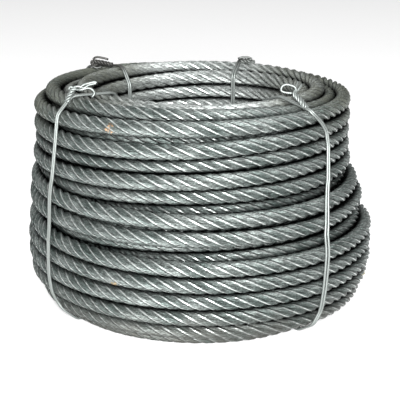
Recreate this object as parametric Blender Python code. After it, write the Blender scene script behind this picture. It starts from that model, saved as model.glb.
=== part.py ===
"""Coil of six-strand steel wire rope, held by four doubled tie wires.

Metres, +Z up. The coil stands on the floor with its bore upright, and the origin is on
the floor in the middle of the bore. The front is towards -Y. An azimuth is counted from
the front, positive towards +X.
"""
import math

import bmesh
import bpy
from mathutils import Matrix, Vector

# The rope and the coil that it is wound into
ROPE_DIAMETER = 0.010
COIL_HEIGHT = 0.1425
BORE_DIAMETER = 0.130
BASE_DIAMETER = 0.206
BULGE_DIAMETER = 0.228
BULGE_HEIGHT = 0.046
TOP_DIAMETER = 0.203
SHOULDER_DROP = 0.0055
CROWN_SETBACK = 0.0085

# The rope's outermost turns in the order in which it is wound, from its outer end: heights
# at the left, in front and at the right, in hundredths of the way from the lowest turn to
# the crown, and how many rope diameters the turn lies inside the smooth barrel
LOWER_TURNS = (
    ((58.9, 55.5, 56.4), 0.0),
    ((49.2, 48.2, 48.9), 0.0),
    ((38.8, 34.7, 34.9), 0.05),
    ((30.9, 27.3, 27.5), 0.0),
    ((22.2, 19.9, 19.5), 0.0),
    ((14.9, 12.6, 12.2), -0.2),
    ((7.6, 5.3, 4.8), -0.4),
    ((0.6, 0.6, 0.6), -0.25),
)
UPPER_TURNS = (
    ((35.1, 37.3, 38.7), 0.93),
    ((42.3, 44.5, 45.8), 0.87),
    ((49.1, 51.5, 53.1), 0.92),
    ((56.2, 58.7, 60.5), 0.7),
    ((63.4, 65.9, 67.7), 0.42),
    ((70.3, 72.8, 75.0), 0.03),
    ((77.4, 78.8, 82.5), 0.2),
    ((84.5, 85.8, 89.5), -0.18),
    ((93.5, 95.5, 96.4), -0.07),
    ((99.7, 99.5, 95.8), 0.78),
    ((90.1, 90.6, 88.5), 0.78),
)
SIDE_AZIMUTH = math.radians(80.0)
OUTER_END_AZIMUTH = math.radians(210.0)
OUTER_END_HEIGHT = 59.5
BORE_STEP_START = math.radians(190.0)
BORE_STEP_END = math.radians(330.0)

# The upper turns lean to the left, those of the bore less
LEAN = 0.005
LEAN_FOOT = 0.050
LEAN_RISE = 0.045
BORE_LEAN_SHARE = 0.6

# The tie wires and the gaps that they keep
TIE_DIAMETER = 0.0015
TIE_PAIR_SPACING = 0.0014
TIE_GAP = 0.0009
FLOOR_GAP = 0.0003
NOTCH_SIDE_GAP = 0.0006

# Each tie: its name, its azimuth, where its knot stands on the crown, from the bore at 0
# to the outermost turn there at 1, and how the knot rises and leans
TIES = (
    {"name": "tie_wire_front_left", "azimuth": math.radians(-55.0), "knot_place": 0.92,
     "knot_rise": 0.0095, "lean_inwards": -0.002, "lean_sideways": 0.004},
    {"name": "tie_wire_front_right", "azimuth": math.radians(43.0), "knot_place": 0.92,
     "knot_rise": 0.0095, "lean_inwards": 0.003, "lean_sideways": -0.006},
    {"name": "tie_wire_back_left", "azimuth": math.radians(-131.0), "knot_place": 0.36,
     "knot_rise": 0.0050, "lean_inwards": -0.003, "lean_sideways": 0.012},
    {"name": "tie_wire_back_right", "azimuth": math.radians(157.0), "knot_place": 0.31,
     "knot_rise": 0.0035, "lean_inwards": 0.001, "lean_sideways": -0.010},
)
KNOT_TWIST_PITCH = 0.006
KNOT_STEPS = 10

# How finely the round shapes are cut into facets
COIL_SEGMENTS = 36
SIDE_STEPS = 60
BORE_STEPS = 50
CROWN_STEPS = 8
CORNER_STEPS = 6
FOOT_SHARE = 0.3
CORNER_FLOOR = 0.8
TURN_SHOULDER = math.radians(25.0)
SLIGHT_TURNING = math.radians(20.0)
TIE_CORNER_STEP = math.radians(20.0)
GROOVE_FLOOR = 0.2

# Finishes
ROPE_COLOUR = (0.30, 0.32, 0.31, 1.0)
TIE_COLOUR = (0.58, 0.60, 0.59, 1.0)

TURN_RADIUS = ROPE_DIAMETER / 2
TIE_RADIUS = TIE_DIAMETER / 2
TIE_OFFSET = TURN_RADIUS + TIE_GAP + TIE_RADIUS
TIE_LIFT = FLOOR_GAP + TIE_DIAMETER + TIE_GAP
INNER_TURN = BORE_DIAMETER / 2 + TURN_RADIUS
BASE_TURN = BASE_DIAMETER / 2 - TURN_RADIUS
BULGE_TURN = BULGE_DIAMETER / 2 - TURN_RADIUS
TOP_TURN = TOP_DIAMETER / 2 - TURN_RADIUS
CROWN_TURN = TOP_TURN - CROWN_SETBACK
LOW = TURN_RADIUS
CROWN = COIL_HEIGHT - TURN_RADIUS
SHOULDER = CROWN - SHOULDER_DROP


def clear_scene():
    for item in list(bpy.data.objects):
        bpy.data.objects.remove(item, do_unlink=True)


def material(name, colour, roughness):
    finish = bpy.data.materials.new(name)
    finish.use_nodes = True
    shader = finish.node_tree.nodes["Principled BSDF"]
    shader.inputs["Base Color"].default_value = colour
    shader.inputs["Metallic"].default_value = 1.0
    shader.inputs["Roughness"].default_value = roughness
    return finish


def add_object(name, bm, finish=None):
    """Makes an object of a bmesh, with smooth shading on its round stretches."""
    bmesh.ops.recalc_face_normals(bm, faces=bm.faces)
    mesh = bpy.data.meshes.new(name)
    bm.to_mesh(mesh)
    bm.free()
    mesh.shade_smooth()
    mesh.set_sharp_from_angle(angle=math.radians(35.0))
    if finish:
        mesh.materials.append(finish)
    item = bpy.data.objects.new(name, mesh)
    bpy.context.collection.objects.link(item)
    return item


def barrel_radius(height):
    """Radius of the outermost turn's middle at a height: narrow below, widest at the bulge."""
    if height < BULGE_HEIGHT:
        share = (BULGE_HEIGHT - height) / (BULGE_HEIGHT - LOW)
        return BULGE_TURN - (BULGE_TURN - BASE_TURN) * share ** 3
    share = (height - BULGE_HEIGHT) / (SHOULDER - BULGE_HEIGHT)
    return BULGE_TURN - (BULGE_TURN - TOP_TURN) * share * share * (3 - 2 * share)


def turns_along(line):
    """Turns side by side along a line in the section, all but the one at its end."""
    reach = [0.0]
    for here, there in zip(line, line[1:]):
        reach.append(reach[-1] + math.dist(here, there))
    count = max(1, round(reach[-1] / ROPE_DIAMETER))
    turns = []
    span = 0
    for index in range(count):
        target = reach[-1] * index / count
        while reach[span + 1] < target:
            span += 1
        share = (target - reach[span]) / (reach[span + 1] - reach[span])
        (r0, z0), (r1, z1) = line[span], line[span + 1]
        turns.append((r0 + (r1 - r0) * share, z0 + (z1 - z0) * share))
    return turns


def side_place(turn, share, side):
    """Middle of a turn on one side's share of the way from the front, or its value there."""
    percents, setback = turn
    percent = percents[1] + (percents[1 + side] - percents[1]) * share
    height = LOW + (CROWN - LOW) * percent / 100
    return barrel_radius(height) - setback * ROPE_DIAMETER, height


def blend(here, there, share):
    return here[0] + (there[0] - here[0]) * share, here[1] + (there[1] - here[1]) * share


def wound_turns(turns, azimuth):
    """Middles (radius, height) of turns where a half plane at an azimuth cuts them."""
    azimuth = (azimuth + SIDE_AZIMUTH) % (2 * math.pi) - SIDE_AZIMUTH
    if azimuth <= SIDE_AZIMUTH:
        side = 1 if azimuth > 0 else -1
        return [side_place(turn, abs(azimuth) / SIDE_AZIMUTH, side) for turn in turns]
    share = (azimuth - SIDE_AZIMUTH) / (2 * math.pi - 2 * SIDE_AZIMUTH)
    return [blend(side_place(turn, 1.0, 1), side_place(after, 1.0, -1), share)
            for turn, after in zip(turns, turns[1:])]


def outer_end(azimuth):
    """The first stretch of the rope, from its outer end to its first whole turn."""
    azimuth = azimuth % (2 * math.pi)
    first_whole = 2 * math.pi - SIDE_AZIMUTH
    if not OUTER_END_AZIMUTH <= azimuth < first_whole:
        return []
    share = (azimuth - OUTER_END_AZIMUTH) / (first_whole - OUTER_END_AZIMUTH)
    start = side_place(((OUTER_END_HEIGHT,) * 3, 0.0), 0.0, 1)
    return [blend(start, side_place(LOWER_TURNS[0], 1.0, -1), share)]


def bore_turns(azimuth):
    """Middles of the innermost turns, which step down to one another along the left of the bore."""
    count = round((CROWN - LOW) / ROPE_DIAMETER)
    spacing = (CROWN - LOW) / count
    share = (azimuth % (2 * math.pi) - BORE_STEP_START) / (BORE_STEP_END - BORE_STEP_START)
    step = min(max(share, 0.0), 1.0) if azimuth % (2 * math.pi) < BORE_STEP_END else 0.0
    heights = [CROWN - spacing * (index + step) for index in range(count + 1)]
    return [(INNER_TURN, CROWN)] + [(INNER_TURN, max(height, LOW)) for height in heights]


def foot_turns():
    return turns_along([(INNER_TURN, LOW), (BASE_TURN, LOW)]) + [(BASE_TURN, LOW)]


def section_turns(azimuth):
    """Middles of all turns that show in a half plane at an azimuth."""
    crown = turns_along([(INNER_TURN, CROWN), (CROWN_TURN, CROWN)])
    return (foot_turns() + outer_end(azimuth) + wound_turns(LOWER_TURNS, azimuth)
            + wound_turns(UPPER_TURNS, azimuth) + crown + bore_turns(azimuth))


def lean(radius, height):
    """How far to the left the coil leans at a place in its section."""
    rise = min(max((height - LEAN_FOOT) / LEAN_RISE, 0.0), 1.0)
    rise = rise * rise * (3 - 2 * rise)
    outward = min(max((radius - INNER_TURN) / (TOP_TURN - INNER_TURN), 0.0), 1.0)
    return -LEAN * rise * (BORE_LEAN_SHARE + (1 - BORE_LEAN_SHARE) * outward)


def in_space(azimuth, radius, height, across=0.0):
    """Point of the coil or a tie from its place in a half plane."""
    out, along = directions(azimuth)
    point = out * radius + along * across
    point.x += lean(radius, height)
    point.z = height
    return point


def outward_angle(here, there):
    """Direction that points out of the section on the way from one turn to the next."""
    return math.atan2(-(there[0] - here[0]), there[1] - here[1])


def turning(first, last):
    return (last - first + math.pi) % (2 * math.pi) - math.pi


def crest_corners(first, last):
    """Corners (angle, reach) of a turn's facets. A bend keeps a facet square to each side of it."""
    turn = turning(first, last)
    reach = TURN_RADIUS / math.cos(TURN_SHOULDER)
    if turn < SLIGHT_TURNING:
        between = []
    elif turn < 2 * TURN_SHOULDER:
        between = [(first + turn / 2, TURN_RADIUS / math.cos(turn / 2))]
    else:
        between = [(first + TURN_SHOULDER, reach), (last - TURN_SHOULDER, reach)]
    return [(first - TURN_SHOULDER, reach)] + between + [(last + TURN_SHOULDER, reach)]


def far_reach(turns, start, angle, floor):
    """How far from a start the last turn's surface lies along a direction, or the floor."""
    direction = (math.cos(angle), math.sin(angle))
    reach = floor
    for radius, height in turns:
        offset = (radius - start[0], height - start[1])
        along = offset[0] * direction[0] + offset[1] * direction[1]
        aside = offset[0] * direction[1] - offset[1] * direction[0]
        if abs(aside) < TURN_RADIUS:
            reach = max(reach, along + math.sqrt(TURN_RADIUS ** 2 - aside ** 2))
    return start[0] + reach * direction[0], start[1] + reach * direction[1]


def foot_outline():
    """The flat-footed underside, from the bore's lowest turn to the outermost one."""
    turns = foot_turns()
    depth = GROOVE_FLOOR * TURN_RADIUS
    down = -math.pi / 2
    outline = []
    for index, (radius, height) in enumerate(turns):
        first = -math.pi if index == 0 else down
        for angle, reach in crest_corners(first, down):
            outline.append((radius + reach * math.cos(angle), height + reach * math.sin(angle)))
        if index + 1 < len(turns):
            outline.append(((radius + turns[index + 1][0]) / 2, height - depth))
    return outline


def steps_between(first, last, count):
    return [first + (last - first) * step / count for step in range(count + 1)]


def coil_outline(azimuth):
    """The section's edge in a half plane, where rays out of its core leave the turns."""
    turns = section_turns(azimuth)
    edge = foot_outline()
    groove = GROOVE_FLOOR * TURN_RADIUS
    eaves = SHOULDER - TURN_RADIUS
    brow = CROWN - TURN_RADIUS / 2
    for height in steps_between(TURN_RADIUS * FOOT_SHARE, eaves, SIDE_STEPS):
        core = barrel_radius(height) - ROPE_DIAMETER
        edge.append(far_reach(turns, (INNER_TURN, height), 0.0, core - INNER_TURN + groove))
    for angle in steps_between(0.0, math.pi / 2, CORNER_STEPS)[1:-1]:
        edge.append(far_reach(turns, (CROWN_TURN, eaves), angle, CORNER_FLOOR * ROPE_DIAMETER))
    for radius in steps_between(CROWN_TURN, INNER_TURN, CROWN_STEPS)[:-1]:
        edge.append(far_reach(turns, (radius, LOW), math.pi / 2, CROWN - LOW))
    for angle in steps_between(math.pi / 2, math.pi, CORNER_STEPS)[:-1]:
        edge.append(far_reach(turns, (INNER_TURN, brow), angle, TURN_RADIUS))
    for height in steps_between(brow, LOW + TURN_RADIUS, BORE_STEPS):
        edge.append(far_reach(turns, (BASE_TURN, height), math.pi, BASE_TURN - INNER_TURN + groove))
    return edge


def taut_turns(turns):
    """The turns that a taut loop would touch: the section's convex hull, bore's foot first."""
    def half(points):
        chain = []
        for point in points:
            while len(chain) > 1 and cross(chain[-2], chain[-1], point) <= 0:
                chain.pop()
            chain.append(point)
        return chain[:-1]

    def cross(a, b, c):
        return (b[0] - a[0]) * (c[1] - a[1]) - (b[1] - a[1]) * (c[0] - a[0])

    ordered = sorted(turns)
    return half(ordered) + half(ordered[::-1])


def corner(hull, index, offset):
    """Points (radius, height, outward angle) of a loop's bend round one turn of the hull."""
    radius, height = hull[index]
    first = outward_angle(hull[index - 1], hull[index])
    last = outward_angle(hull[index], hull[(index + 1) % len(hull)])
    turn = turning(first, last)
    steps = math.ceil(turn / TIE_CORNER_STEP)
    if steps < 2:
        angles = [first + turn / 2]
        reach = offset / math.cos(turn / 2)
    else:
        angles = [first + turn * step / steps for step in range(steps + 1)]
        reach = offset
    return [(radius + reach * math.cos(angle), height + reach * math.sin(angle), angle)
            for angle in angles]


def tied_hull(azimuth):
    """The hull that the ties pull round: the underside is raised by the wire bedded in it."""
    raised = [(radius, max(height, LOW + TIE_LIFT)) for radius, height in section_turns(azimuth)]
    return taut_turns(raised)


def directions(azimuth):
    """Unit vectors out from the axis and along the turns at an azimuth."""
    out = Vector((math.sin(azimuth), -math.cos(azimuth), 0.0))
    along = Vector((math.cos(azimuth), math.sin(azimuth), 0.0))
    return out, along


def pair_section():
    """Edge of two wires that lie side by side and touch: (across the pair, away from the coil)."""
    edge = []
    half = TIE_PAIR_SPACING / 2
    for side in (1, -1):
        for angle in (-60.0, 0.0, 60.0):
            turn = math.radians(angle)
            edge.append((side * (half + TIE_RADIUS * math.cos(turn)),
                         side * TIE_RADIUS * math.sin(turn)))
        edge.append((0.0, side * TIE_RADIUS * 0.45))
    return edge


def sweep(bm, frames, closed):
    """Skins the wire pair's edge along frames of (middle, across, away)."""
    section = pair_section()
    rings = []
    for middle, across, away in frames:
        rings.append([bm.verts.new(middle + across * x + away * y) for x, y in section])
    followers = rings[1:] + rings[:1] if closed else rings[1:]
    size = len(section)
    for ring, follower in zip(rings, followers):
        for index in range(size):
            after = (index + 1) % size
            bm.faces.new((ring[index], ring[after], follower[after], follower[index]))
    if not closed:
        bm.faces.new(rings[0][::-1])
        bm.faces.new(rings[-1])


def loop_frames(azimuth):
    out, along = directions(azimuth)
    up = Vector((0.0, 0.0, 1.0))
    hull = tied_hull(azimuth)
    frames = []
    for index in range(len(hull)):
        for radius, height, angle in corner(hull, index, TIE_OFFSET):
            away = out * math.cos(angle) + up * math.sin(angle)
            frames.append((in_space(azimuth, radius, height), along, away))
    return frames


def loop_height(azimuth, radius):
    """Height of a tie's middle over the crown at a distance from the axis."""
    hull = tied_hull(azimuth)
    for here, there in zip(hull, hull[1:] + hull[:1]):
        if there[0] <= radius < here[0]:
            share = (radius - here[0]) / (there[0] - here[0])
            rise = TIE_OFFSET / math.sin(outward_angle(here, there))
            return here[1] + (there[1] - here[1]) * share + rise
    return CROWN + TIE_OFFSET


def knot_frames(tie):
    """The twisted ends: they rise from the loop on the crown, then lean over."""
    out, along = directions(tie["azimuth"])
    up = Vector((0.0, 0.0, 1.0))
    foot_radius = INNER_TURN + (CROWN_TURN - INNER_TURN) * tie["knot_place"]
    foot = in_space(tie["azimuth"], foot_radius, loop_height(tie["azimuth"], foot_radius))
    tip = (foot + up * tie["knot_rise"] - out * tie["lean_inwards"]
           + along * tie["lean_sideways"])
    elbow = foot + up * tie["knot_rise"]
    points = []
    for step in range(KNOT_STEPS + 1):
        share = step / KNOT_STEPS
        points.append(foot * (1 - share) ** 2 + elbow * 2 * share * (1 - share) + tip * share ** 2)
    frames = []
    travelled = 0.0
    for index, point in enumerate(points):
        ahead = points[min(index + 1, KNOT_STEPS)]
        behind = points[max(index - 1, 0)]
        heading = (ahead - behind).normalized()
        if index:
            travelled += (point - points[index - 1]).length
        across = (along - heading * along.dot(heading)).normalized()
        twist = Matrix.Rotation(2 * math.pi * travelled / KNOT_TWIST_PITCH, 3, heading)
        across = twist @ across
        frames.append((point, across, heading.cross(across)))
    return frames


def make_coil(finish):
    bm = bmesh.new()
    rings = []
    for segment in range(COIL_SEGMENTS):
        azimuth = 2 * math.pi * segment / COIL_SEGMENTS
        rings.append([bm.verts.new(in_space(azimuth, radius, height))
                      for radius, height in coil_outline(azimuth)])
    for ring, follower in zip(rings, rings[1:] + rings[:1]):
        for index in range(len(ring)):
            bm.faces.new((ring[index - 1], ring[index], follower[index], follower[index - 1]))
    bmesh.ops.triangulate(bm, faces=bm.faces)
    return add_object("rope_coil", bm, finish)


def notch_outline(azimuth):
    """Side view of the room for a tie under the coil, from the bore's foot to the bulge."""
    hull = tied_hull(azimuth)
    foot = corner(hull, 0, TURN_RADIUS)
    toe = corner(hull, 1, TURN_RADIUS)
    rise = corner(hull, 2, TURN_RADIUS)[:1]
    edge = [(radius, height) for radius, height, _ in foot + toe + rise]
    far_in = edge[0][0] - ROPE_DIAMETER
    far_out = edge[-1][0] + ROPE_DIAMETER
    return edge + [(far_out, edge[-1][1]), (far_out, -ROPE_DIAMETER),
                   (far_in, -ROPE_DIAMETER), (far_in, edge[0][1])]


def cut_notches(coil):
    """Beds the ties in the underside, so that the coil still stands on its lowest turns."""
    half_width = TIE_PAIR_SPACING / 2 + TIE_RADIUS + NOTCH_SIDE_GAP
    bm = bmesh.new()
    for tie in TIES:
        along = directions(tie["azimuth"])[1]
        near = [bm.verts.new(in_space(tie["azimuth"], radius, height, -half_width))
                for radius, height in notch_outline(tie["azimuth"])]
        face = bm.faces.new(near)
        moved = bmesh.ops.extrude_face_region(bm, geom=[face])["geom"]
        far = [item for item in moved if isinstance(item, bmesh.types.BMVert)]
        bmesh.ops.translate(bm, vec=along * 2 * half_width, verts=far)
    cutter = add_object("notch_cutter", bm)
    cutter.hide_render = True
    cutter.display_type = "WIRE"
    cut = coil.modifiers.new("notches", "BOOLEAN")
    cut.operation = "DIFFERENCE"
    cut.object = cutter


def make_tie(tie, finish):
    bm = bmesh.new()
    sweep(bm, loop_frames(tie["azimuth"]), closed=True)
    loop = add_object(tie["name"], bm, finish)
    bm = bmesh.new()
    sweep(bm, knot_frames(tie), closed=False)
    knot = add_object(tie["name"] + "_knot_guide", bm)
    knot.hide_render = True
    knot.display_type = "WIRE"
    join = loop.modifiers.new("knot", "BOOLEAN")
    join.operation = "UNION"
    join.object = knot


def main():
    clear_scene()
    galvanised = material("galvanised_rope", ROPE_COLOUR, 0.45)
    binding = material("tie_wire", TIE_COLOUR, 0.32)
    cut_notches(make_coil(galvanised))
    for tie in TIES:
        make_tie(tie, binding)


main()
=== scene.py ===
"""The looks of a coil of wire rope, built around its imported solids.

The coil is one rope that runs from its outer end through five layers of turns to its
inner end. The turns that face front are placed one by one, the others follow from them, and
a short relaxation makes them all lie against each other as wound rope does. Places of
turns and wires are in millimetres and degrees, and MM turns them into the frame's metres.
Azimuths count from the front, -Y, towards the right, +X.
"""

import math

import bpy
import numpy as np
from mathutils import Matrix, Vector


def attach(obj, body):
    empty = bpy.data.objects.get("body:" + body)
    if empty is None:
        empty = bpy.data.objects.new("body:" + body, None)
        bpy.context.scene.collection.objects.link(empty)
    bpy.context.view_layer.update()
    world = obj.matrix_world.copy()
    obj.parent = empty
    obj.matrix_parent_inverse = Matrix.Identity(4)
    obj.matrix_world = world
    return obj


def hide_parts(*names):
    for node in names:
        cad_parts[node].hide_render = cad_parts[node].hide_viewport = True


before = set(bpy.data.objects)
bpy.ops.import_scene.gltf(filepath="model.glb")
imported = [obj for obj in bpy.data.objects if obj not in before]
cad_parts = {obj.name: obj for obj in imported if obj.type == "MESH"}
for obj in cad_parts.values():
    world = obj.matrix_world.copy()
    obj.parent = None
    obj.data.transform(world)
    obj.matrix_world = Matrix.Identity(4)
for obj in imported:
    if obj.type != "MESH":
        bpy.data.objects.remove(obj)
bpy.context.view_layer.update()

MM = 0.001
FULL_TURN = 2 * math.pi
FAR_AWAY = 1000.0
TINY = 1e-9

# The camera, found by fitting the coil's rims to the photograph
CAMERA_DISTANCE = 0.7226
CAMERA_HEIGHT = 0.2732
CAMERA_PITCH = math.radians(16.34)
SENSOR_WIDTH = 36.0
PHOTO_WIDTH_PIXELS = 400
FOCAL_PIXELS = 1129

# The lights, in metres and watts: name, place, target, size and power
LIGHTS = (
    ("key", (0.04, -1.35, 0.5), (0, 0, 0.07), 0.35, 66),
    ("top", (0.0, 1.0, 3.0), (0, 1, 0), 6.0, 175),
)
WORLD_STRENGTH = 0.05
FLOOR_HALF_WIDTH = 6.0

# Plain looks: colour, metallic share and roughness. The rope's and the ties' nodes then feed
# most of these in themselves
FLOOR_PLAIN = ((0.92, 0.92, 0.92), 0.0, 0.7)
ROPE_PLAIN = ((0.36, 0.38, 0.37), 0.55, 0.5)
TIE_PLAIN = ((0.62, 0.64, 0.63), 0.7, 0.4)

# The rope and its six strands. A strand's section spreads so many degrees to both sides of
# its crest, and the rest of it lies hidden in the rope
ROPE = 10.0
STRANDS = 6
STRAND_SETBACK = ROPE / 3
STRAND_RADIUS = ROPE / 6
STRAND_SPREAD = 106.0
LAY_LENGTH = 50.0
OUTER_WIRES = 12
WIRE_TURN_PER_MM = 0.242

# The winding: points on each turn, and the limits that its centre line keeps
PER_TURN = 36
BORE_TURN = 70.0
FLOOR_TURN = 5.3
CROWN_TURN = 137.2
SHOULDER_START = 92.0
SHOULDER_FALL = 0.9
SHOULDER_FOOT = 126.0
WIDEST_TURN = 108.6

# Both sides draw in above and below their widest stretch: height, and the widest radius
LEFT_SIDE = (
    (6, 94.5), (14, 101), (26, 108.6), (50, 108.6), (60, 106.7),
    (72, 104.2), (84, 101), (97, 98.6), (110, 97),
)
RIGHT_SIDE = (
    (6, 98), (14, 104), (26, 108.6), (58, 108.6), (66, 105),
    (80, 102), (92, 98.5), (100, 97.5), (112, 96.5), (120, 97),
)

# The relaxation: turns are pushed a spacing apart and pulled towards their placed course,
# firmly where they face front and are held, and less and less from round to round
ROUNDS = 260
TURN_SPACING = 9.8
PUSH = 0.28
PUSH_PASSES = 3
LOOSE_PULL = 0.015
HELD_PULL = 0.25
PULL_EASES_BY = 0.7
FACES_FRONT_UNTIL = 95.0
FACES_FRONT_FADE = 25.0
STIFFNESS = 0.35
STIFFENING_PASSES = 3

# The lowest turns rise where a tie wire passes under them
TIE_RAISE = 1.9
TIE_REACH = 16.0

# Azimuths at which the turns that face front are placed one by one, then each turn's heights
# and radii there. A single number holds for the whole turn
FRONT = (-75, -45, -20, 0, 20, 45, 75)
OUTER_TURNS = (
    ((83, 81.5, 79.5, 78, 77.5, 78.5, 82), (100.5, 102, 103, 103.5, 104, 104.5, 103)),
    ((69.5, 67.5, 68, 68.6, 68.6, 70, 71.5), (104.8, 105.5, 106.5, 107, 107.3, 107, 102.8)),
    ((56.5, 53.3, 51.4, 50, 50, 51, 53), (107.8, 108, 108.2, 108.2, 108.2, 108, 106)),
    ((47, 43.2, 41.4, 40, 40.4, 41, 43), 108.9),
    ((33.5, 32.0, 31.4, 30, 31, 31, 31.5), 108.9),
    ((23.5, 23.5, 22.5, 20.5, 20.8, 22, 22), 108.3),
    ((14, 14, 13, 12, 12.5, 12.5, 12.5), (101.5, 101.5, 103, 104, 103.5, 104, 104.5)),
)
FOOT_TURNS = (
    (FLOOR_TURN, (93, 91.5, 93.5, 97, 95.5, 95, 96)),
)
BURIED_TURNS = (
    ((13, 14, 14.5, 15, 15.5, 16, 17), 96.5),
    ((22.5, 23.5, 24, 24.5, 25, 25.5, 26.5), 99.5),
    ((32.5, 33.5, 34, 34.5, 35, 35.5, 36.5), 99),
    ((42.5, 43.5, 44, 44.5, 45, 45.5, 46.5), 99),
)
UPPER_TURNS = (
    ((54, 55.5, 56.5, 57.5, 58, 57, 58), 99.5),
    ((62, 62, 62.5, 63, 63.5, 64, 65), 99),
    ((70, 71, 72, 73, 74, 74.5, 75), 95.5),
    ((76, 78, 82, 82.7, 83, 84, 84), (93.5, 93, 93.5, 94.9, 96, 97.5, 96.5)),
    ((86, 89, 92.5, 92.5, 91.5, 92, 93.8), (94, 94, 94.5, 96.8, 99.5, 101, 96.8)),
    ((96.5, 98.5, 101, 101.8, 102, 102, 104.5), (99.7, 100.5, 100.3, 100.5, 100.5, 98.5, 95)),
    ((106.5, 107, 109, 109.5, 111, 114.5, 116.5), (90.5, 90.8, 91, 92.2, 94, 97, 95)),
    ((115.5, 115.5, 115.7, 117.3, 120.7, 125.3, 127.3), (98.3, 98.6, 98.4, 98.5, 99, 99, 96.4)),
    ((129, 129.5, 131, 132, 132, 131.8, 133.5), (96.3, 96.3, 96.4, 96.5, 96.5, 96.5, 94.5)),
    ((137.2, 137.2, 137.2, 137.2, 137, 135.5, 128.5), (85.5, 86, 87, 87.5, 87.5, 87, 85.5)),
    ((122, 123.5, 124.5, 125, 125, 124, 122.5), (87, 87.5, 89, 90, 90.5, 89.5, 88)),
)

# Groups of placed turns in the rope's order, and how firmly each group is held
PLACED_TURNS = (
    (OUTER_TURNS, 1.0),
    (FOOT_TURNS, 1.0),
    (BURIED_TURNS, 0.0),
    (UPPER_TURNS, 1.0),
)

# The layers inside them: first and last height, turns, radius, and the azimuths between
# which each turn steps down or up to the next
PLAIN_LAYERS = (
    (114, FLOOR_TURN, 12, 88.8, 75, 285),
    (FLOOR_TURN, CROWN_TURN, 14, 79.6, 75, 285),
    (CROWN_TURN, FLOOR_TURN, 14, BORE_TURN, 190, 330),
)

# The rope's outer end: azimuth, radius, height and how firmly it is held
OUTER_END = (-150.0, 101.5, 85.0, 0.5)

# The top leans a little to the left, its outer turns most
LEAN = 5.0
LEAN_FOOT = 50.0
LEAN_RISE = 45.0
BORE_LEAN_SHARE = 0.6
LEAN_WIDTH = 25.0

# The stretches of rope that are a piece each: name, first and last turn, distance between
# rings, points across each strand, and the rope's surface there
STRETCHES = (
    ("rope_outer_layer", -9, 7, 3.5, 6, "outside"),
    ("rope_second_layer", 7, 21, 3.6, 6, "outside"),
    ("rope_third_layer_top", 21, 24, 3.6, 6, "outside"),
    ("rope_third_layer", 24, 34, 7, 3, "outside"),
    ("rope_third_layer_foot", 34, 36, 3.6, 6, "outside"),
    ("rope_fourth_layer", 36, 47, 7, 3, "outside"),
    ("rope_fourth_layer_top", 47, 49.5, 3.6, 6, "inside"),
    ("rope_bore_layer", 49.5, 99, 3.6, 6, "inside"),
)
NEIGHBOURS = 7

# The tie wires: each is one wire bent double, whose ends are twisted together on top
TIE = 1.5
TIE_GAP = 0.15
PAIR_SPACING = 1.6
PARTING_TOP = 110.0
PARTING_INNER_LIMIT = 90.0
TIE_TURN_MARGIN = 20.0
LOOP_ARC_STEPS = 4
LOOP_STEP = 2.0
WIRE_STEP = 1.0
WIRE_SIDES = 10
LINE_FINENESS = 24
LINE_FEWEST_POINTS = 4
ACROSS_ANY_WIRE = (0.3, 0.5, 0.8)

# The twist on top of each tie
KNOT_WIRES = 4
KNOT_FLOOR = 125.0
TWIST_RADIUS = 1.25
TWIST_PITCH = 9.0
TWIST_STEP = 0.5
TWIST_THINNING = 3
ACROSS_ANY_TWIST = (0.2, 1.0, 0.1)

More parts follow.
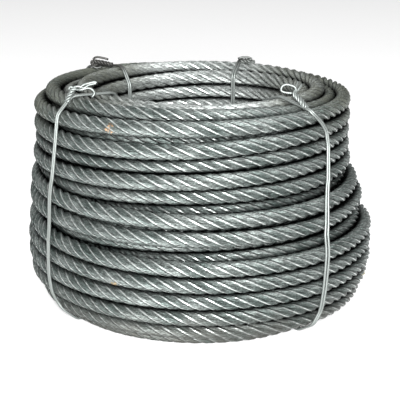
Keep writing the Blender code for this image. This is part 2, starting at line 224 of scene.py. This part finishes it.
# Each tie: how much grime lies on its top, height and azimuth up its outer side, its azimuth
# in the bore, how far its wires part, where on top its twist starts, and then the tip of
# the twist from there and its ends from the tip, as steps to the right, to the back and up
TIES = (
    {"node": "tie_wire_front_left", "grime": 0.0,
     "outside": ((7, -52), (15, -54), (30, -54.5), (55, -54.5), (75, -52.6), (95, -50.8),
                 (115, -51), (140, -51.5)),
     "bore": -47.5, "parting": 0.1, "knot_radius": 95.0,
     "tip": ((1.8, 0.8, 4.0), (4.0, 2.0, 7.6)),
     "tails": (((3.0, 0.5, 1.6), (6, 1, 0.4), (9, 1.3, 2.2), (12.6, 1.5, 3.0), (13.6, 1.7, 3.7),
                (12.6, 1.7, 4.0), (9.5, 1.2, 3.4), (6, 1, 2.4), (3.5, 0.5, 0.4)),
               ((4, 0.5, -0.6), (8.5, 1, 0.4), (11.2, 1, -0.6), (12.4, 1, -2.8), (10.6, 0.5, -5.2)),
               ((-1.0, 0.5, 1.2), (-2.4, 0.0, 1.0), (-2.6, -0.5, -0.4)))},
    {"node": "tie_wire_front_right", "grime": 0.0,
     "outside": ((7, 38), (16, 40), (33, 41), (50, 41.8), (64, 42.6), (78, 45.4), (95, 48.6),
                 (115, 50.3), (124, 50), (130, 47.5), (135, 44.5), (140, 43)),
     "bore": 39.0, "parting": 0.9, "knot_radius": 98.5,
     "tip": ((-3.2, 2.5, 4.2), (-6.8, 5.5, 7.4)),
     "tails": (((0.6, 0.6, 2.2), (1.8, 2.5, 4.4), (2.6, 5.0, 6.4)),
               ((1.8, 0.6, 1.6), (3.6, 1.8, 3.6), (4.8, 3.5, 5.2)),
               ((1.2, 0.2, 2.2), (0.4, 0.4, 4.2), (-4.2, 0.6, 5.6), (-7.0, 0.6, 4.4),
                (-7.4, 0.2, 1.8), (-4.0, -0.2, 0.8), (-0.8, -0.3, 0.6)))},
    {"node": "tie_wire_back_left", "grime": 0.9,
     "outside": ((7, -131), (140, -131)),
     "bore": -135.0, "parting": 0.3, "knot_radius": 78.0,
     "tip": ((-5.0, -1.0, 1.4), (-12.0, -2.0, 2.8)),
     "tails": (((-0.8, 0, 1.8), (1.5, 0, 3.2), (6, 0, 2.6), (9.5, 0, 1.6)),
               ((-1.2, 0, -1.0), (-1.0, 0, -3.2), (1.6, 0, -4.2), (5.0, 0, -3.4)),
               ((-1.8, 0.5, 0.6), (-2.4, 0.5, -1.2), (-0.6, 0.5, -2.4), (2.5, 0.5, -2.0)))},
    {"node": "tie_wire_back_right", "grime": 0.55,
     "outside": ((7, 157), (140, 156)),
     "bore": 156.0, "parting": 0.0, "knot_radius": 77.0,
     "tip": ((3.5, -0.5, 0.2), (8.0, -1.0, 0.3)),
     "tails": (((1.4, 0, -0.6), (1.2, 0, -2.6), (-1.6, 0, -3.0)),
               ((0.8, 0, 1.4), (-2.0, 0, 2.6), (-6.0, 0, 2.6), (-9.0, 0, 1.6)),
               ((1.8, 0, 0.4), (2.6, 0, -0.6), (2.0, 0, -1.8)))},
)

# The rope's surfaces: the material's name, the dull colour where it is darkest and where it
# is lightest, half the width of a strand's bright crest in turns of the strand, and where
# the dirt on top lies
SURFACES = {
    "outside": ("galvanised_rope", (0.055, 0.071, 0.066), (0.122, 0.138, 0.132), 0.05, "behind"),
    # The inside copy is painted light: its lighter dull colours and wider crests stand in for light
    # on the bore's wall and the crown's top
    "inside": ("galvanised_rope_painted_light", (0.20, 0.22, 0.212), (0.30, 0.32, 0.312), 0.09, "sides"),
}

# The bright crest's colour, the wires' bump in metres, and how far along the rope each
# strand's wear is shifted from the last one's, also in metres
BURNISHED = (0.58, 0.61, 0.595)
WIRE_BUMP_STRENGTH = 0.5
WIRE_BUMP_HEIGHT = 0.00008
STRAND_SHIFT = 0.137

# How finely noise varies, per metre, and its detail
PATINA = (60.0, 4.0)
GRAIN = (1000.0, 3.0)
WIRE_WEAR = (1.0, 3.0)
WIRE_WEAR_ALONG = 200.0
STAIN_EDGE = (700.0, 2.0)
TIE_SHEEN = (400.0, 2.0)

# A range names two values of what drives it, and then what it gives at each of them. The
# first is painted shade in the dull colour, dark in the grooves between the wires' round forms.
# The next two vary it by the wear of single wires and by a fine grain. The others follow the wear
# and the crest
WIRE_GROOVE_PAINTED_SHADE = (-1.0, 0.7, 0.5, 1.05)
WEAR_SHADE = (0.3, 0.7, 0.15, 1.75)
GRAIN_SHADE = (0.3, 0.7, 0.5, 1.5)
CREST_WEAR = (0.3, 0.6, 0.2, 1.0)
CREST_ROUGHNESS = (0.0, 1.0, 0.52, 0.26)
CREST_METALLIC = (0.0, 1.0, 0.55, 1.0)

# Values of the patina at which the dull colour is darkest and lightest
DULL_STOPS = (0.35, 0.65)

# Painted shade makes the gaps between turns dark and dims their reflections, by the millimetres
# to the next turn. Those count for less towards the sides, by the metres from the middle, so the
# painted shade reaches farther out there
GAP_PAINTED_SHADE = (0.6, 2.4, 0.01, 1.0)
GAP_PAINTED_SHADE_AT_SIDES = (0.04, 0.09, 1.0, 0.65)
GAP_PAINTED_SHADE_SHINE = (0.0, 1.0, 0.0, 0.5)

# Dirt on top and a darker grey at the foot, by height and place in metres, in clouds from the
# patina
DIRT_ON_TOP = (0.112, 0.132, 0.0, 1.0)
DIRT_TOWARDS = {"behind": (-0.078, -0.03, 0.0, 1.0), "sides": (0.03, 0.058, 0.0, 1.0)}
DIRT_AND_FOOT_CLOUDS = (0.3, 0.6, 0.3, 0.8)
DARKER_AT_FOOT = (0.03, 0.004, 0.0, 1.0)
TOP_DIRT_COLOR = (0.085, 0.09, 0.07)
FOOT_DARK_COLOR = (0.04, 0.038, 0.032)

# Stains on the rope: place and radius in millimetres, colour
STAINS = (
    ((-51.2, -87.0, 130.0), 3.2, (0.50, 0.28, 0.13)),
    ((-25.2, -105.0, 82.0), 1.2, (0.24, 0.13, 0.11)),
    ((-50.5, -99.9, 38.6), 2.2, (0.20, 0.14, 0.07)),
    ((107.2, -32.4, 20.1), 3.0, (0.42, 0.37, 0.20)),
)
STAIN_NOISE = (0.3, 0.7)
STAIN_STRENGTH = 0.85
STAIN_CORE = 0.4

# The tie wires' looks, and the height above which grime lies on them
TIE_CLEAN_COLOR = (0.16, 0.175, 0.168)
TIE_GRIME_COLOR = (0.024, 0.022, 0.02)
TIE_ROUGHNESS = (0.0, 1.0, 0.35, 0.6)
GRIME_FOOT = 138.0
GRIME_RISE = 5.0


def add_mesh(name, points, faces):
    """A mesh object whose four-cornered faces are smooth and whose cut ends are flat."""
    mesh = bpy.data.meshes.new(name)
    mesh.from_pydata(points.tolist(), [], faces)
    mesh.polygons.foreach_set("use_smooth", [len(face) == 4 for face in faces])
    piece = bpy.data.objects.new(name, mesh)
    bpy.context.scene.collection.objects.link(piece)
    return piece


def sleeve_faces(rings, around, closed=False):
    """Faces over rings of points, one ring after the other; open ends get a flat cut."""
    start = around * np.arange(rings if closed else rings - 1)[:, None]
    following = (start + around) % (rings * around)
    here = np.arange(around)
    ahead = (here + 1) % around
    sides = np.stack([start + here, start + ahead, following + ahead, following + here], -1)
    faces = sides.reshape(-1, 4).tolist()
    if not closed:
        faces.append(list(range(around))[::-1])
        faces.append(list(range((rings - 1) * around, rings * around)))
    return faces


def unit(vectors):
    """Rows of vectors at a length of one."""
    return vectors / np.linalg.norm(vectors, axis=1)[:, None]


def reach_along(points):
    """How far along the line each of its points lies."""
    return np.concatenate([[0], np.cumsum(np.linalg.norm(np.diff(points, axis=0), axis=1))])


def spline(values, at):
    """Values along a line at fractional point numbers, by a Catmull-Rom curve."""
    last = len(values) - 1
    at = np.clip(at, 0, last - 0.001)
    base = np.floor(at).astype(int)
    share = (at - base)[:, None]
    before, start, end, after = (values[np.clip(base + step, 0, last)] for step in (-1, 0, 1, 2))
    cubic = 3 * (start - end) + after - before
    square = 2 * before - 5 * start + 4 * end - after
    return start + 0.5 * share * (end - before + share * (square + share * cubic))


def even_steps(points, step):
    """The same line with points about a step apart, rounded through them."""
    fine = spline(points, np.linspace(0, len(points) - 1, LINE_FINENESS * len(points)))
    reach = reach_along(fine)
    wanted = np.linspace(0, reach[-1], max(LINE_FEWEST_POINTS, int(reach[-1] / step) + 1))
    return np.stack([np.interp(wanted, reach, fine[:, axis]) for axis in range(3)], 1)


def signed_azimuth(azimuth):
    """The azimuth between -180 and 180 degrees."""
    return (azimuth + 180.0) % 360.0 - 180.0


def winding_keys():
    """Rows of unwrapped azimuth, radius, height and how firmly the rope is held there."""
    rows = [OUTER_END]
    turn = 0
    for turns, hold in PLACED_TURNS:
        for heights, radii in turns:
            heights = np.broadcast_to(heights, len(FRONT))
            radii = np.broadcast_to(radii, len(FRONT))
            for azimuth, radius, height in zip(FRONT, radii, heights):
                rows.append((azimuth + 360.0 * turn, radius, height, hold))
            turn += 1
    turn = round(rows[-1][0] / 360.0)
    for first, last, turns, radius, leave, arrive in PLAIN_LAYERS:
        for count in range(turns):
            height = first + (last - first) * count / (turns - 1)
            turn += 1
            rows.append((360.0 * turn + arrive - 360.0, radius, height, 0.0))
            rows.append((360.0 * turn + leave, radius, height, 0.0))
    return np.array(rows, float)


def floor_heights(azimuth):
    """The lowest height of a turn's centre, raised where the tie wires pass under it."""
    raised = np.zeros_like(azimuth)
    for tie in TIES:
        away = signed_azimuth(azimuth - tie["outside"][0][1]) / TIE_REACH
        raised = np.maximum(raised, TIE_RAISE * np.exp(-away ** 2))
    return FLOOR_TURN + raised


def keep_in_bounds(azimuth, place, lowest):
    """Keeps turns out of the bore, off the floor, inside both sides and under the top."""
    widest = np.full(len(place), WIDEST_TURN)
    for side, outline in ((-1, LEFT_SIDE), (1, RIGHT_SIDE)):
        heights, radii = zip(*outline)
        share = np.clip(2 * side * np.sin(np.radians(azimuth)) - 1, 0, 1)
        widest += share * (np.interp(place[:, 1], heights, radii) - WIDEST_TURN)
    place[:, 0] = np.clip(place[:, 0], BORE_TURN, widest)
    top = CROWN_TURN - SHOULDER_FALL * np.clip(place[:, 0] - SHOULDER_START, 0, None)
    top = np.maximum(top, SHOULDER_FOOT)
    place[:, 1] = np.clip(place[:, 1], lowest, top)


def stiffen(place):
    """A rope is stiff, so each point moves towards the middle of its neighbours."""
    for _ in range(STIFFENING_PASSES):
        middle = 0.5 * (place[:-2] + place[2:])
        place[1:-1] += STIFFNESS * (middle - place[1:-1])


def push_apart(place, grid, used, pairs):
    """Moves turns that overlap in a plane through the axis away from each other."""
    near = place[grid]
    offset = near[:, :, None] - near[:, None, :]
    distance = np.sqrt((offset ** 2).sum(-1)) + TINY
    push = np.where(pairs, np.clip(TURN_SPACING - distance, 0, None), 0)
    move = (offset * (push / distance)[..., None]).sum(2) * PUSH
    place[grid[used]] += move[used]


def plane_grid(number):
    """The points that lie in each plane through the axis, a row a plane, -1 for none."""
    planes = [np.flatnonzero(number % PER_TURN == plane) for plane in range(PER_TURN)]
    grid = np.full((PER_TURN, max(len(plane) for plane in planes)), -1)
    for row, plane in zip(grid, planes):
        row[:len(plane)] = plane
    return grid


def wind_rope():
    """Azimuths, radii and heights of the rope's centre from its outer to its inner end."""
    keys = winding_keys()
    step = 360.0 / PER_TURN
    first = math.ceil(keys[0, 0] / step)
    last = math.floor(keys[-1, 0] / step)
    number = np.arange(first, last + 1)
    azimuth = number * step
    radius, height, hold = (np.interp(azimuth, keys[:, 0], keys[:, column]) for column in (1, 2, 3))
    target = np.stack([radius, height], 1)
    away_from_front = np.abs(signed_azimuth(azimuth))
    shown = np.clip((FACES_FRONT_UNTIL - away_from_front) / FACES_FRONT_FADE, 0, 1)
    pull = LOOSE_PULL + HELD_PULL * shown * hold
    lowest = floor_heights(azimuth)

    grid = plane_grid(number)
    used = grid >= 0
    itself = np.eye(grid.shape[1], dtype=bool)
    pairs = used[:, :, None] & used[:, None, :] & ~itself

    place = target.copy()
    for count in range(ROUNDS):
        ease = 1.0 - PULL_EASES_BY * count / ROUNDS
        place += (target - place) * (pull * ease)[:, None]
        stiffen(place)
        for _ in range(PUSH_PASSES):
            push_apart(place, grid, used, pairs)
            keep_in_bounds(azimuth, place, lowest)
    return azimuth, place


def in_space(azimuth, place):
    """Points in millimetres of an azimuth, a radius and a height each."""
    angle = np.radians(azimuth)
    radius, height = place[:, 0], place[:, 1]
    rise = np.clip((height - LEAN_FOOT) / LEAN_RISE, 0, 1)
    rise = rise * rise * (3 - 2 * rise)
    outward = np.clip((radius - BORE_TURN) / LEAN_WIDTH, 0, 1)
    shift = -LEAN * rise * (BORE_LEAN_SHARE + (1 - BORE_LEAN_SHARE) * outward)
    return np.stack([radius * np.sin(angle) + shift, -radius * np.cos(angle), height], 1)


def strand_section(points_per_strand):
    """Angle and distance from the rope's centre, and angle in the strand, of a section."""
    local = np.radians(np.linspace(-STRAND_SPREAD, STRAND_SPREAD, points_per_strand))
    across = STRAND_RADIUS * np.sin(local)
    out = STRAND_SETBACK + STRAND_RADIUS * np.cos(local)
    angles = [np.arctan2(across, out) + FULL_TURN * strand / STRANDS for strand in range(STRANDS)]
    return np.concatenate(angles), np.tile(np.hypot(across, out), STRANDS), np.tile(local, STRANDS)


def neighbours(place, at):
    """Radii and heights of the nearest other turns beside each point of a stretch."""
    turns = np.arange(1, math.ceil(len(place) / PER_TURN))
    steps = PER_TURN * np.concatenate([-turns[::-1], turns])
    there = at[:, None] + steps
    flat = spline(place, there.ravel()).reshape(*there.shape, 2)
    flat[(there < 0) | (there > len(place) - 1)] = FAR_AWAY
    here = spline(place, at)
    distance = np.hypot(*np.moveaxis(flat - here[:, None], -1, 0))
    nearest = np.argpartition(distance, NEIGHBOURS, axis=1)[:, :NEIGHBOURS]
    return np.take_along_axis(flat, nearest[..., None], axis=1)


def add_gaps(piece, radius, height, beside):
    """Keeps with each point how far it is from the nearest other turn."""
    gap = np.full(radius.shape, FAR_AWAY)
    for index in range(beside.shape[1]):
        away = np.hypot(radius - beside[:, index, 0, None], height - beside[:, index, 1, None])
        gap = np.minimum(gap, away - ROPE / 2)
    layer = piece.data.attributes.new("gap", "FLOAT", "POINT")
    layer.data.foreach_set("value", gap.astype(np.float32).ravel())


def add_wires_map(piece, along, wire, points_per_strand):
    """Maps each face's corners: metres along the rope, and turns round its strand."""
    here = np.arange(len(wire))
    ahead = (here + 1) % len(wire)
    wire_ahead = np.where(ahead % points_per_strand == 0, wire, wire[ahead])
    corners = np.empty((len(along) - 1, len(wire), 4, 2))
    shift = (here // points_per_strand) * STRAND_SHIFT
    corners[..., :2, 0] = (along[:-1] * MM)[:, None, None] + shift[:, None]
    corners[..., 2:, 0] = (along[1:] * MM)[:, None, None] + shift[:, None]
    corners[..., 1] = np.stack([wire, wire_ahead, wire_ahead, wire], -1) / FULL_TURN
    both_cuts = np.zeros(2 * len(wire) * 2)
    layer = piece.data.uv_layers.new(name="wires")
    layer.data.foreach_set("uv", np.concatenate([corners.ravel(), both_cuts]).astype(np.float32))


def rope_stretch(name, centre, along, points_per_strand, material, beside):
    """Sweeps the six-strand section along a stretch of the rope's centre line."""
    tangent = unit(np.gradient(centre, axis=0))
    outward = centre * (1, 1, 0)
    outward -= (outward * tangent).sum(1)[:, None] * tangent
    outward = unit(outward)
    side = np.cross(tangent, outward)
    angle, distance, wire = strand_section(points_per_strand)
    turned = angle[None] + (FULL_TURN / LAY_LENGTH * along)[:, None]
    ring = outward[:, None] * np.cos(turned)[..., None] + side[:, None] * np.sin(turned)[..., None]
    points = (centre[:, None] + ring * distance[None, :, None]) * MM
    piece = add_mesh(name, points.reshape(-1, 3), sleeve_faces(*turned.shape))
    radius = np.hypot(centre[:, 0], centre[:, 1])[:, None] + np.cos(turned) * distance
    add_gaps(piece, radius, points[..., 2] / MM, beside)
    add_wires_map(piece, along, wire, points_per_strand)
    piece.data.materials.append(material)
    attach(piece, "root")
    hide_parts("rope_coil")


def build_rope(azimuth, place):
    """The whole rope, in stretches that follow each other."""
    materials = {surface: rope_material(*look) for surface, look in SURFACES.items()}
    length = reach_along(in_space(azimuth, place))
    print("rope length in metres:", round(length[-1] * MM, 2))
    turns = (azimuth + 180.0) / 360.0
    course = np.concatenate([place, azimuth[:, None]], 1)
    for name, first, last, step, points_per_strand, surface in STRETCHES:
        begin, end = np.interp((first, last), turns, length)
        along = np.linspace(begin, end, int((end - begin) / step))
        at = np.interp(along, length, np.arange(len(azimuth)))
        here = spline(course, at)
        centre = in_space(here[:, 2], here[:, :2])
        beside = neighbours(place, at)
        beside[..., 0] += np.hypot(centre[:, 0], centre[:, 1])[:, None] - here[:, 0, None]
        rope_stretch(name, centre, along, points_per_strand, materials[surface], beside)


class Look:
    """A material, and short ways to add the nodes that feed its shader."""

    def __init__(self, name, color, metallic, roughness):
        self.material = bpy.data.materials.new(name)
        self.material.use_nodes = True
        self.tree = self.material.node_tree
        self.shader = self.tree.nodes["Principled BSDF"]
        self.shade({"Base Color": color, "Metallic": metallic, "Roughness": roughness})

    def feed(self, node, inputs):
        """Gives a node's inputs a number, a colour or another node's output each."""
        for socket, value in inputs.items():
            if isinstance(value, (int, float)):
                node.inputs[socket].default_value = value
            elif isinstance(value, tuple):
                node.inputs[socket].default_value = (*value, 1)
            else:
                self.tree.links.new(value, node.inputs[socket])

    def shade(self, inputs):
        """Feeds the material's shader."""
        self.feed(self.shader, inputs)

    def add(self, kind, inputs, **settings):
        """Adds a node with its settings, then feeds it."""
        node = self.tree.nodes.new("ShaderNode" + kind)
        for name, value in settings.items():
            setattr(node, name, value)
        self.feed(node, inputs)
        return node

    def math(self, operation, *values):
        """One sum, product or other result of one or two values."""
        return self.add("Math", dict(enumerate(values)), operation=operation).outputs[0]

    def object_place(self):
        """The place on the object, in metres."""
        return self.add("TexCoord", {}).outputs["Object"]

    def axes(self, vector):
        """The three parts of a vector."""
        return self.add("SeparateXYZ", {0: vector}).outputs

    def attribute(self, name):
        """A value that the mesh keeps with its points."""
        return self.add("Attribute", {}, attribute_name=name).outputs["Fac"]

    def noise(self, place, scale_and_detail):
        """Smooth random values, most of them between 0.3 and 0.7."""
        scale, detail = scale_and_detail
        return self.add("TexNoise", {"Vector": place, "Scale": scale, "Detail": detail}).outputs[0]

    def ranged(self, value, limits):
        """The value, taken from the first two limits to the last two."""
        low, high, to_low, to_high = limits
        inputs = {"Value": value, "From Min": low, "From Max": high,
                  "To Min": to_low, "To Max": to_high}
        return self.add("MapRange", inputs).outputs[0]

    def ramp(self, value, positions, colors):
        """A colour between two colours, by a value between two positions."""
        node = self.add("ValToRGB", {0: value})
        for element, position, color in zip(node.color_ramp.elements, positions, colors):
            element.position = position
            element.color = (*color, 1)
        return node.outputs[0]

    def mix(self, share, first, second, blend="MIX"):
        """The first colour, mixed with a share of the second."""
        node = self.add("Mix", {}, data_type="RGBA", blend_type=blend)
        self.feed(node, {"Factor": share, "A": first, "B": second})
        return node.outputs["Result"]


def rope_material(name, darkest, lightest, crest_width, dirt_lies):
    """Dull zinc on single wires, burnished crests, and painted shade between wires and turns."""
    look = Look(name, *ROPE_PLAIN)
    place = look.object_place()
    right, back, up = look.axes(place)
    sideways = look.math("ABSOLUTE", right)
    along, across, _ = look.axes(look.add("UVMap", {}, uv_map="wires").outputs[0])

    wires_per_metre = WIRE_TURN_PER_MM / MM * OUTER_WIRES / FULL_TURN
    wire = look.math("ADD", look.math("MULTIPLY", across, OUTER_WIRES),
                     look.math("MULTIPLY", along, wires_per_metre))
    wave = look.math("COSINE", look.math("MULTIPLY", wire, FULL_TURN))
    bump = look.add("Bump", {"Strength": WIRE_BUMP_STRENGTH, "Distance": WIRE_BUMP_HEIGHT,
                             "Height": wave})

    patina = look.noise(place, PATINA)
    grain = look.noise(place, GRAIN)
    patches = look.add("CombineXYZ", {0: look.math("MULTIPLY", along, WIRE_WEAR_ALONG), 1: wire})
    wear = look.noise(patches.outputs[0], WIRE_WEAR)
    color = look.ramp(patina, DULL_STOPS, (darkest, lightest))
    # First painted shade in the grooves between wires, then the wires' own wear and grain
    for value, limits in ((wave, WIRE_GROOVE_PAINTED_SHADE), (wear, WEAR_SHADE), (grain, GRAIN_SHADE)):
        color = look.mix(1.0, color, look.ranged(value, limits), "MULTIPLY")

    beside_crest = look.math("ABSOLUTE", across)
    crest = look.ranged(beside_crest, (crest_width, crest_width / 3, 0.0, 1.0))
    crest = look.math("MULTIPLY", crest, look.ranged(wear, CREST_WEAR))
    color = look.mix(crest, color, BURNISHED)
    dirty_way = {"behind": back, "sides": sideways}[dirt_lies]
    color = add_dirt_and_dark_foot(look, color, patina, up, look.ranged(dirty_way, DIRT_TOWARDS[dirt_lies]))
    color = add_stains(look, color, place)

    # Painted shade: near black in the gaps between turns, farther out towards the sides, with the
    # reflections there faded
    gap = look.math("MULTIPLY", look.attribute("gap"), look.ranged(sideways, GAP_PAINTED_SHADE_AT_SIDES))
    gap_painted_shade = look.ranged(gap, GAP_PAINTED_SHADE)
    look.shade({
        "Base Color": look.mix(1.0, color, gap_painted_shade, "MULTIPLY"),
        "Metallic": look.ranged(crest, CREST_METALLIC),
        "Roughness": look.ranged(crest, CREST_ROUGHNESS),
        "Specular IOR Level": look.ranged(gap_painted_shade, GAP_PAINTED_SHADE_SHINE),
        "Normal": bump.outputs[0],
    })
    return look.material


def add_dirt_and_dark_foot(look, color, patina, height, dirty_part):
    """Brown-green dirt in clouds where the top is dirty, and a darker grey in clouds round the
    foot.
    """
    clouds = look.ranged(patina, DIRT_AND_FOOT_CLOUDS)
    on_top = look.math("MULTIPLY", look.ranged(height, DIRT_ON_TOP), dirty_part)
    color = look.mix(look.math("MULTIPLY", on_top, clouds), color, TOP_DIRT_COLOR)
    at_foot = look.ranged(height, DARKER_AT_FOOT)
    return look.mix(look.math("MULTIPLY", at_foot, clouds), color, FOOT_DARK_COLOR)


def add_stains(look, color, place):
    """The stains, each round a place of its own, with a ragged edge."""
    for centre, radius, stain in STAINS:
        away = look.add("VectorMath", {0: place}, operation="DISTANCE")
        away.inputs[1].default_value = [MM * value for value in centre]
        reach = MM * radius
        edge = look.ranged(look.noise(place, STAIN_EDGE), (*STAIN_NOISE, -reach / 2, reach / 2))
        ragged = look.math("ADD", away.outputs["Value"], edge)
        share = look.ranged(ragged, (reach, reach * STAIN_CORE, 0.0, STAIN_STRENGTH))
        color = look.mix(share, color, stain)
    return color


def wire_material():
    """Satin wire, with grime where the mesh says so."""
    look = Look("tie_wire", *TIE_PLAIN)
    sheen = look.noise(look.object_place(), TIE_SHEEN)
    color = look.mix(look.attribute("grime"), TIE_CLEAN_COLOR, TIE_GRIME_COLOR)
    look.shade({"Base Color": color, "Roughness": look.ranged(sheen, TIE_ROUGHNESS)})
    return look.material


def tie_azimuth(tie, radius, height):
    """Azimuth of a tie at a place of its loop: it runs slightly askew over the coil."""
    heights, azimuths = zip(*tie["outside"])
    outside = np.interp(height, heights, azimuths)
    share = np.clip((radius - BORE_TURN) / (SHOULDER_START - BORE_TURN), 0, 1)
    return tie["bore"] + (outside - tie["bore"]) * share


def turns_at(tie, azimuth, place):
    """Radii and heights of the turns where the tie passes them, found in two rounds."""
    middle = tie["outside"][len(tie["outside"]) // 2][1]
    first = math.ceil((azimuth[0] - middle + TIE_TURN_MARGIN) / 360.0)
    last = math.floor((azimuth[-1] - middle - TIE_TURN_MARGIN) / 360.0)
    found = []
    for turn in range(first, last + 1):
        where = middle
        for _ in range(2):
            radius = np.interp(where + 360.0 * turn, azimuth, place[:, 0])
            height = np.interp(where + 360.0 * turn, azimuth, place[:, 1])
            where = tie_azimuth(tie, radius, height)
        found.append((radius, height))
    return found


def half_hull(ordered):
    """One side of the hull round places that are in order, without its last place."""
    chain = []
    for radius, height in ordered:
        while len(chain) > 1:
            (first_radius, first_height), (last_radius, last_height) = chain[-2:]
            turning = ((last_radius - first_radius) * (height - first_height)
                       - (last_height - first_height) * (radius - first_radius))
            if turning > 0:
                break
            chain.pop()
        chain.append((radius, height))
    return chain[:-1]


def convex_hull(places):
    """The places that a taut loop touches, against the clock from the innermost one."""
    ordered = sorted(places)
    return half_hull(ordered) + half_hull(ordered[::-1])


def taut_loop(tie, azimuth, place):
    """Radii and heights of a closed loop pulled tight round the coil's wall."""
    hull = np.array(convex_hull(turns_at(tie, azimuth, place)))
    offset = ROPE / 2 + TIE / 2 + TIE_GAP
    into = hull - np.roll(hull, 1, 0)
    arriving = np.arctan2(-into[:, 0], into[:, 1])
    leaving = np.roll(arriving, -1)
    loop = []
    for middle, first, last in zip(hull, arriving, leaving):
        turning = (last - first) % FULL_TURN
        for step in range(LOOP_ARC_STEPS + 1):
            angle = first + turning * step / LOOP_ARC_STEPS
            loop.append(middle + offset * np.array((math.cos(angle), math.sin(angle))))
    loop = np.array(loop)
    loop[:, 1] = np.maximum(loop[:, 1], TIE / 2 + TIE_GAP)
    closed = np.concatenate([loop, loop[:1]])
    reach = reach_along(closed)
    wanted = np.arange(0, reach[-1], LOOP_STEP)
    return np.stack([np.interp(wanted, reach, closed[:, axis]) for axis in (0, 1)], 1)


def tube(line, closed=False):
    """Points and faces of a round tie wire along a line."""
    if closed:
        tangent = unit(np.roll(line, -1, 0) - np.roll(line, 1, 0))
    else:
        tangent = unit(np.gradient(line, axis=0))
    angle = np.arange(WIRE_SIDES) * FULL_TURN / WIRE_SIDES
    across = np.cross(tangent[0], ACROSS_ANY_WIRE)
    rings = []
    for point, along in zip(line, tangent):
        across = across - along * across.dot(along)
        across /= np.linalg.norm(across)
        other = np.cross(along, across)
        ring = np.outer(np.cos(angle), across) + np.outer(np.sin(angle), other)
        rings.append(point + TIE / 2 * ring)
    return np.concatenate(rings), sleeve_faces(len(line), WIRE_SIDES, closed)


def doubled_loop(tie, loop, around):
    """The line midway between a tie's two wires, and both wires, which part a little."""
    middle = in_space(around, loop)
    angle = np.radians(around)
    sideways = np.stack([np.cos(angle), np.sin(angle), 0 * angle], 1)
    outside = loop[:, 0] > PARTING_INNER_LIMIT
    parted = np.sin(np.clip(loop[:, 1] / PARTING_TOP, 0, 1) * math.pi) * outside
    spacing = PAIR_SPACING + tie["parting"] * parted
    return middle, [middle + sideways * (side * spacing / 2)[:, None] for side in (-1, 1)]


def twisted(base, tip_steps):
    """The twist: wires wound round each other along a short bent axis."""
    axis = even_steps(np.array([base] + [base + np.array(step) for step in tip_steps]), TWIST_STEP)
    reach = reach_along(axis)
    tangent = unit(np.gradient(axis, axis=0))
    across = unit(np.cross(tangent, ACROSS_ANY_TWIST))
    other = np.cross(tangent, across)
    wires = []
    for wire in range(KNOT_WIRES):
        angle = FULL_TURN * (reach / TWIST_PITCH + wire / KNOT_WIRES)
        ring = across * np.cos(angle)[:, None] + other * np.sin(angle)[:, None]
        wires.append(axis + TWIST_RADIUS * ring)
    return wires


def knot(tie, base):
    """The twist on top of the loop, with the loose ends that leave its tip."""
    wires = twisted(base, tie["tip"])
    tip = base + np.array(tie["tip"][-1])
    for number, tail in enumerate(tie["tails"]):
        wire = wires[number]
        loose_end = even_steps(np.concatenate([wire[-1:], tip + np.array(tail)]), WIRE_STEP)
        wires[number] = np.concatenate([wire[::TWIST_THINNING], loose_end[1:]])
    return wires


def join(tubes):
    """Points and faces of several tubes as one mesh."""
    faces = []
    count = 0
    for tube_points, tube_faces in tubes:
        faces += [[corner + count for corner in face] for face in tube_faces]
        count += len(tube_points)
    return np.concatenate([tube_points for tube_points, _ in tubes]), faces


def build_tie(tie, azimuth, place, material):
    """One tie: the doubled loop, the twist and its ends, all in one piece."""
    loop = taut_loop(tie, azimuth, place)
    middle, pair = doubled_loop(tie, loop, tie_azimuth(tie, loop[:, 0], loop[:, 1]))
    from_knot = np.abs(loop[:, 0] - tie["knot_radius"])
    base = middle[np.argmin(np.where(loop[:, 1] > KNOT_FLOOR, from_knot, FAR_AWAY))]
    tubes = [tube(line, closed=True) for line in pair]
    tubes += [tube(line) for line in knot(tie, base)]
    points, faces = join(tubes)
    piece = add_mesh(tie["node"] + "_wires", points * MM, faces)
    on_top = np.clip((points[:, 2] - GRIME_FOOT) / GRIME_RISE, 0, 1)
    grime = piece.data.attributes.new("grime", "FLOAT", "POINT")
    grime.data.foreach_set("value", (tie["grime"] * on_top).astype(np.float32))
    piece.data.materials.append(material)
    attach(piece, "root")
    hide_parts(tie["node"])


def build_ties(azimuth, place):
    """The four ties."""
    material = wire_material()
    for tie in TIES:
        build_tie(tie, azimuth, place, material)


def add_floor():
    """A wide pale floor under the coil."""
    half = FLOOR_HALF_WIDTH
    points = np.array([(-half, -half, 0), (half, -half, 0), (half, half, 0), (-half, half, 0)])
    floor = add_mesh("floor", points, [(0, 1, 2, 3)])
    floor.data.materials.append(Look("pale_floor", *FLOOR_PLAIN).material)


def add_lights():
    """A white world and the square lights."""
    world = bpy.data.worlds.new("studio")
    world.use_nodes = True
    background = world.node_tree.nodes["Background"]
    background.inputs["Color"].default_value = (1, 1, 1, 1)
    background.inputs["Strength"].default_value = WORLD_STRENGTH
    bpy.context.scene.world = world
    for name, place, target, size, power in LIGHTS:
        light = bpy.data.lights.new(name, "AREA")
        light.size = size
        light.energy = power
        lamp = bpy.data.objects.new(name, light)
        lamp.location = place
        lamp.rotation_euler = (Vector(target) - Vector(place)).to_track_quat("-Z", "Y").to_euler()
        bpy.context.scene.collection.objects.link(lamp)


def add_camera():
    """The photograph's view."""
    camera = bpy.data.cameras.new("camera")
    camera.sensor_width = SENSOR_WIDTH
    camera.lens = SENSOR_WIDTH * FOCAL_PIXELS / PHOTO_WIDTH_PIXELS
    holder = bpy.data.objects.new("camera", camera)
    holder.location = (0, -CAMERA_DISTANCE, CAMERA_HEIGHT)
    holder.rotation_euler = (math.pi / 2 - CAMERA_PITCH, 0, 0)
    bpy.context.scene.collection.objects.link(holder)
    bpy.context.scene.camera = holder


add_camera()
bpy.context.scene.view_settings.view_transform = "Standard"
azimuth, place = wind_rope()
build_rope(azimuth, place)
build_ties(azimuth, place)
add_floor()
add_lights()
